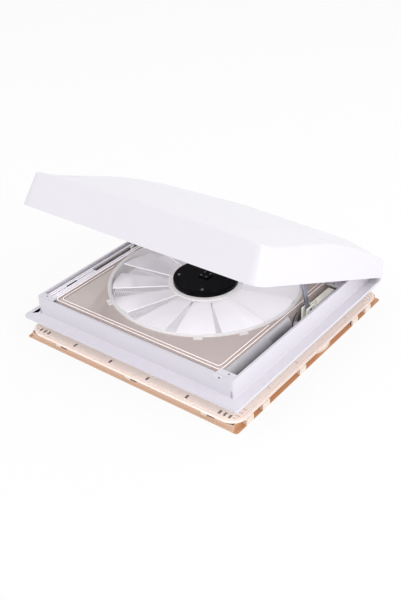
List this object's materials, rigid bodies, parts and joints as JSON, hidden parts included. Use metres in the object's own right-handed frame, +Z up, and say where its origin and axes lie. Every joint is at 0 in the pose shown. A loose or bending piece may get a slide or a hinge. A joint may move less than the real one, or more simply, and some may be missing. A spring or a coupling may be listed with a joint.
{
  "type": "caravan roof vent",
  "caption": "Square roof vent with a hinged raised lid, twin lift arms, a clear tray with a ducted fan, a roof flange and a ceiling trim.",
  "frame": {"origin": "middle of the ceiling trim's underside, which is the centre of its four installer's holes", "axes": "+X along the front edge, +Y from the front edge to the hinge, +Z up through the roof"},
  "size_m": [0.4952, 0.4925, 0.3141],
  "materials": {
    "white_frame": "white moulded ABS, satin gloss",
    "white_lid": "white moulded lid, soft gloss",
    "cream_ledge": "pinkish cream moulded plastic",
    "tan_trim": "tan moulded plastic",
    "cream_clip": "cream moulded plastic",
    "clear_plastic": "clear polycarbonate, slightly smoky",
    "clear_ring": "clear polycarbonate with bright edges",
    "grey_ribbed": "fine ribbed plastic, light at the tray and dark below",
    "grey_strip": "light grey lined plastic",
    "frosted_plastic": "frosted translucent plastic",
    "black_gloss": "glossy black plastic",
    "black_foam": "closed-cell black foam",
    "grey_seal": "soft grey seal",
    "steel": "zinc-plated steel",
    "black_steel": "black painted steel",
    "net_grey": "grey-brown woven insect net",
    "taupe_frame": "taupe moulded plastic",
    "bronze": "sintered bronze",
    "iron": "laminated iron",
    "white_mech": "pale cream moulded plastic"
  },
  "bodies": {
    "base": {"ceiling_trim": "tan_trim", "ceiling_ledge": "cream_ledge", "trim_clips": "cream_clip", "arch_clips": "cream_clip", "trim_screws": "steel", "outer_frame": "white_frame", "roof_seal": "black_foam", "clear_tray": "clear_plastic", "fan_shroud": "clear_ring", "finger_guard": "frosted_plastic", "motor_case": "black_gloss", "motor_stator": "iron", "motor_bearing": "bronze", "screen_frame": "taupe_frame", "screen_net": "net_grey", "terminal_block": "white_mech", "channel_fairing": "grey_ribbed", "channel_strip": "grey_strip", "hinge_brackets": "white_frame", "hinge_pins": "steel", "side_rail_left": "white_frame", "foot_bracket_left": "white_mech", "arm_stay_left": "black_steel", "arm_spring_left": "black_steel", "arm_pin_left": "steel", "side_rail_right": "white_frame", "foot_bracket_right": "white_mech", "arm_stay_right": "black_steel", "arm_spring_right": "black_steel", "arm_pin_right": "steel"},
    "lid": {"lid_shell": "white_lid", "lid_frame": "white_lid", "lid_pan": "white_lid", "lid_seal": "grey_seal", "lid_hinges": "white_lid", "lid_track_left": "white_lid", "lid_track_right": "white_lid"},
    "fan": {"fan_impeller": "frosted_plastic", "fan_shaft": "steel", "hub_collar": "clear_ring", "hub_cap": "black_gloss", "hub_screws": "steel", "hub_plug": "black_gloss"},
    "arm_left": {"lift_arm_left": "steel", "roller_pin_left": "steel"},
    "roller_left": {"track_roller_left": "white_mech"},
    "arm_right": {"lift_arm_right": "steel", "roller_pin_right": "steel"},
    "roller_right": {"track_roller_right": "white_mech"}
  },
  "joints": [
    {"name": "lid_hinge", "type": "hinge", "parent": "base", "child": "lid", "pos_m": [0, 0.231, 0.069], "axis": [1, 0, 0], "range_deg": [0, 24.86]},
    {"name": "fan_spin", "type": "hinge", "parent": "base", "child": "fan", "pos_m": [0, 0, 0.06], "axis": [0, 0, 1], "continuous": true},
    {"name": "arm_pivot_left", "type": "hinge", "parent": "base", "child": "arm_left", "pos_m": [-0.2, 0.034, 0.077], "axis": [1, 0, 0], "range_deg": [0, 76.52]},
    {"name": "roller_spin_left", "type": "hinge", "parent": "arm_left", "child": "roller_left", "pos_m": [-0.2, 0.00226, 0.17499], "axis": [1, 0, 0], "continuous": true},
    {"name": "arm_pivot_right", "type": "hinge", "parent": "base", "child": "arm_right", "pos_m": [0.2, 0.034, 0.077], "axis": [1, 0, 0], "range_deg": [0, 76.52]},
    {"name": "roller_spin_right", "type": "hinge", "parent": "arm_right", "child": "roller_right", "pos_m": [0.2, 0.00226, 0.17499], "axis": [1, 0, 0], "continuous": true}
  ],
  "couplings": [
    {"joint": "arm_pivot_left", "follows": "lid_hinge", "ratio": 3.0773},
    {"joint": "arm_pivot_right", "follows": "lid_hinge", "ratio": 3.0773}
  ]
}
